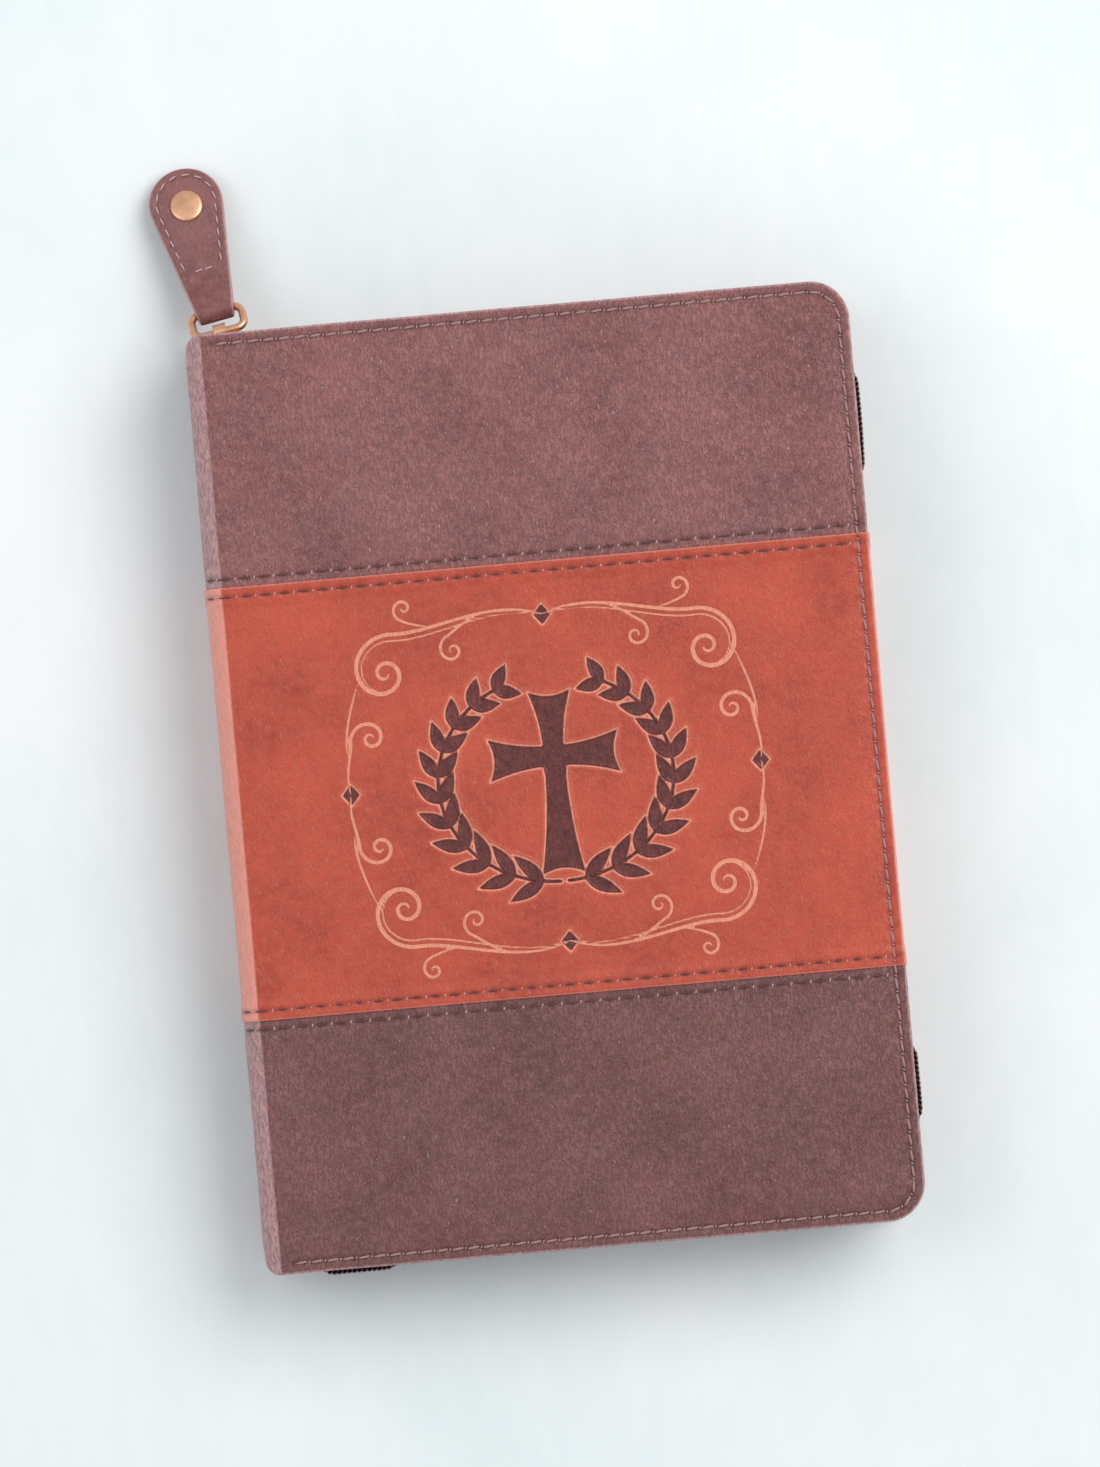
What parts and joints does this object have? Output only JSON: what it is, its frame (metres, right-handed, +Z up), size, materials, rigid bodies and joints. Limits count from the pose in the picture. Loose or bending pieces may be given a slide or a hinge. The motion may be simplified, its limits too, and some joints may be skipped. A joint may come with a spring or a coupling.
{
  "type": "zipped bible",
  "caption": "Soft-cover zipped bible in two-tone leather: opening case with spine, split page block, zip round three sides, sliding pull with ring and riveted strap.",
  "frame": {"origin": "middle of the back cover's outer face, on which the closed book lies", "axes": "+X from the spine to the fore-edge, +Y from the tail to the head (up the page), +Z up through the thickness to the front cover"},
  "size_m": [0.1583, 0.2559, 0.03],
  "materials": {
    "brown_leather": "mauve-brown, fine brushed grain, satin",
    "orange_leather": "burnt orange, fine mottled grain, satin",
    "board": "plain grey board",
    "lining": "fine woven lining",
    "thread": "twisted polyester thread",
    "pull_thread": "twisted polyester thread",
    "zip_tape": "woven herringbone tape",
    "zip_coil": "nylon coil",
    "pages": "thin cream paper",
    "flyleaf": "heavier cream paper",
    "mull": "open woven cloth",
    "headband": "wound silk",
    "ribbon": "satin ribbon",
    "copper_metal": "polished copper-gold plating"
  },
  "bodies": {
    "back_cover": {"back_board": "board", "back_leather_head": "brown_leather", "back_leather_centre": "orange_leather", "back_leather_tail": "brown_leather", "back_lining": "lining", "back_edge_thread": "thread", "back_seam_thread": "thread", "zip_tape_back": "zip_tape", "zip_coil_back": "zip_coil", "zip_bottom_stop": "copper_metal", "back_pages": "pages", "back_flyleaf": "flyleaf", "ribbon_marker": "ribbon"},
    "case_spine": {"spine_board": "board", "spine_leather_head": "brown_leather", "spine_leather_centre": "orange_leather", "spine_leather_tail": "brown_leather", "spine_lining": "lining", "spine_seam_thread": "thread"},
    "front_cover": {"front_board": "board", "front_leather_head": "brown_leather", "front_leather_centre": "orange_leather", "front_leather_tail": "brown_leather", "front_lining": "lining", "front_edge_thread": "thread", "front_seam_thread": "thread", "zip_tape_front": "zip_tape", "zip_coil_front": "zip_coil"},
    "block_spine": {"spine_mull": "mull", "headband": "headband", "tailband": "headband"},
    "front_leaves": {"front_pages": "pages", "front_flyleaf": "flyleaf"},
    "zip_slider": {"slider_body": "copper_metal"},
    "pull_ring": {"pull_ring": "copper_metal"},
    "pull_tab": {"pull_strap": "brown_leather", "pull_thread": "pull_thread", "rivet_cap": "copper_metal", "rivet_back": "copper_metal"}
  },
  "joints": [
    {"name": "spine_to_back_cover", "type": "hinge", "parent": "back_cover", "child": "case_spine", "pos_m": [-0.0745, 0, 0.0015], "axis": [0, -1, 0], "range_deg": [0, 90]},
    {"name": "front_cover_to_spine", "type": "hinge", "parent": "case_spine", "child": "front_cover", "pos_m": [-0.0745, 0, 0.0285], "axis": [0, -1, 0], "range_deg": [0, 90]},
    {"name": "block_spine_to_back", "type": "hinge", "parent": "back_cover", "child": "block_spine", "pos_m": [-0.0718, 0, 0.0033], "axis": [0, -1, 0], "range_deg": [0, 90]},
    {"name": "front_leaves_to_block_spine", "type": "hinge", "parent": "block_spine", "child": "front_leaves", "pos_m": [-0.0718, 0, 0.0267], "axis": [0, -1, 0], "range_deg": [0, 90]},
    {"name": "zip_slide", "type": "slide", "parent": "back_cover", "child": "zip_slider", "axis": [1, 0, 0], "range_m": [0, 0.124]},
    {"name": "ring_swing", "type": "hinge", "parent": "zip_slider", "child": "pull_ring", "pos_m": [-0.068, 0.1087, 0.015], "axis": [0.9833, 0.1822, 0], "range_deg": [0, 75]},
    {"name": "strap_swing", "type": "hinge", "parent": "pull_ring", "child": "pull_tab", "pos_m": [-0.06896, 0.11385, 0.01133], "axis": [0.9833, 0.1822, 0], "range_deg": [0, 45]}
  ],
  "couplings": [
    {"joint": "front_cover_to_spine", "follows": "spine_to_back_cover", "ratio": 1},
    {"joint": "block_spine_to_back", "follows": "spine_to_back_cover", "ratio": 1},
    {"joint": "front_leaves_to_block_spine", "follows": "spine_to_back_cover", "ratio": 1}
  ]
}
